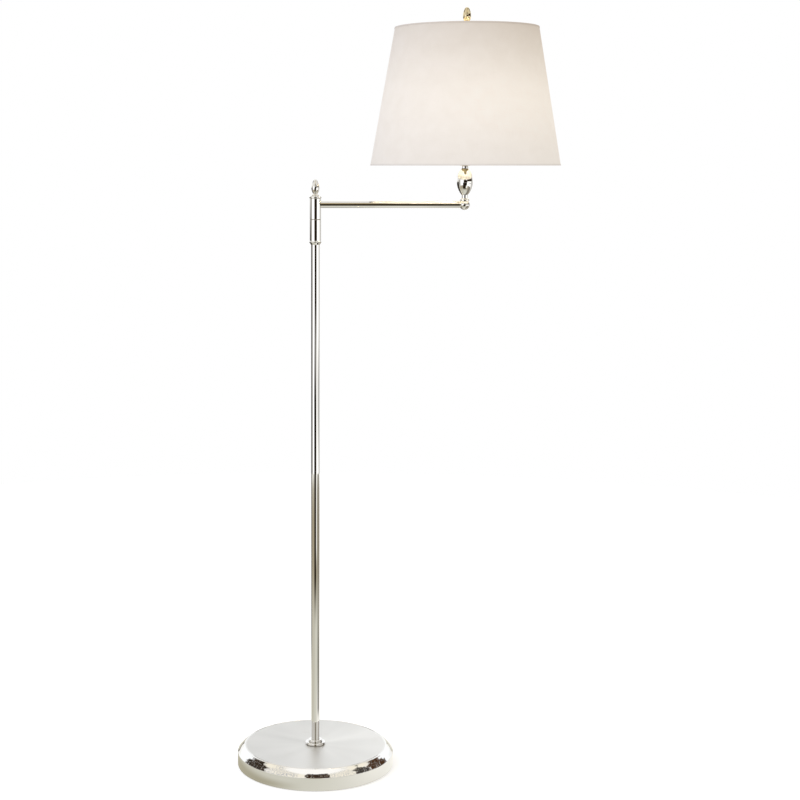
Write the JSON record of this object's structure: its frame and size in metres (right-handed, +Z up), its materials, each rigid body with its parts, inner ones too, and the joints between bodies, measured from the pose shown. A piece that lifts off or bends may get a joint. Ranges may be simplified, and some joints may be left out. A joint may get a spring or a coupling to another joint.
{
  "type": "bridge floor lamp",
  "caption": "Bridge floor lamp: weighted round base, slim pole, an arm that swings about the pole's head, and a tapered drum shade on a harp.",
  "frame": {"origin": "centre of the felt pad's underside, on the pole's axis, on the floor", "axes": "+Z up along the pole, +X along the arm at rest, +Y towards the back, where the cord inlet is"},
  "size_m": [0.6103, 0.3556, 1.4547],
  "materials": {
    "polished_nickel": "mirror-polished nickel plate, slightly warm",
    "linen": "woven white linen laminated to a stiff backing",
    "linen_hem": "folded linen hem tape",
    "felt": "pressed felt",
    "cast_iron": "rough cast, black wash",
    "zinc_steel": "zinc plated",
    "brass": "turned or drawn brass",
    "bronze": "sintered bronze, oiled",
    "black_plastic": "moulded, satin",
    "card_liner": "pressed insulating card",
    "phenolic": "moulded phenolic",
    "screw_shell": "drawn aluminium",
    "solder": "solder",
    "black_glass": "black vitrite",
    "bulb_metal": "rolled aluminium",
    "bulb_glass": "inside-frosted",
    "clear_glass": "clear",
    "tungsten": "coiled tungsten",
    "shade_wire": "white painted steel wire",
    "lead_jacket": "jacketed lamp lead"
  },
  "bodies": {
    "stand": {"base_felt": "felt", "base_weight": "cast_iron", "base_cover": "polished_nickel", "base_washer": "zinc_steel", "base_nut": "brass", "cord_bushing": "black_plastic", "foot_nipple": "brass", "foot_flange": "polished_nickel", "foot_collar": "polished_nickel", "pole_foot_plug": "zinc_steel", "pole_tube": "polished_nickel", "pole_top_plug": "zinc_steel", "lower_collar": "polished_nickel", "stop_pin": "zinc_steel", "thrust_washer": "brass", "pivot_spindle": "zinc_steel", "spring_washer": "zinc_steel", "pivot_nut": "brass", "pole_lead": "lead_jacket"},
    "swing_arm": {"swing_sleeve": "polished_nickel", "bush_lower": "bronze", "bush_upper": "bronze", "sleeve_cap": "polished_nickel", "pole_finial": "polished_nickel", "arm_tube": "polished_nickel", "arm_end_ball": "polished_nickel", "ball_disc": "polished_nickel", "stem_ring": "polished_nickel", "egg_body": "polished_nickel", "neck_ring": "polished_nickel", "head_nipple": "brass", "harp_saddle": "brass", "harp_wire": "brass", "harp_stud": "brass", "socket_cap": "brass", "socket_shell": "brass", "socket_liner": "card_liner", "socket_interior": "phenolic", "socket_screw_shell": "screw_shell", "socket_contact": "brass", "bulb_tip": "solder", "bulb_insulator": "black_glass", "bulb_base": "bulb_metal", "bulb_glass": "bulb_glass", "bulb_mount": "clear_glass", "bulb_filament": "tungsten", "shade_spider": "brass", "shade_bottom_ring": "shade_wire", "shade_panel": "linen", "shade_hem_top": "linen_hem", "shade_hem_bottom": "linen_hem", "shade_finial": "polished_nickel", "arm_lead": "lead_jacket"},
    "switch_key": {"switch_knob": "black_plastic"},
    "left_lock": {"ferrule_left": "brass"},
    "right_lock": {"ferrule_right": "brass"}
  },
  "joints": [
    {"name": "arm_swing", "type": "hinge", "parent": "stand", "child": "swing_arm", "pos_m": [0, 0, 1.0655], "axis": [0, 0, 1], "range_deg": [-160, 160]},
    {"name": "switch_turn", "type": "hinge", "parent": "swing_arm", "child": "switch_key", "pos_m": [0.28, 0, 1.1895], "axis": [-1, 0, 0], "continuous": true},
    {"name": "left_lock_lift", "type": "slide", "parent": "swing_arm", "child": "left_lock", "axis": [0, 0, 1], "range_m": [0, 0.012]},
    {"name": "right_lock_lift", "type": "slide", "parent": "swing_arm", "child": "right_lock", "axis": [0, 0, 1], "range_m": [0, 0.012]}
  ]
}
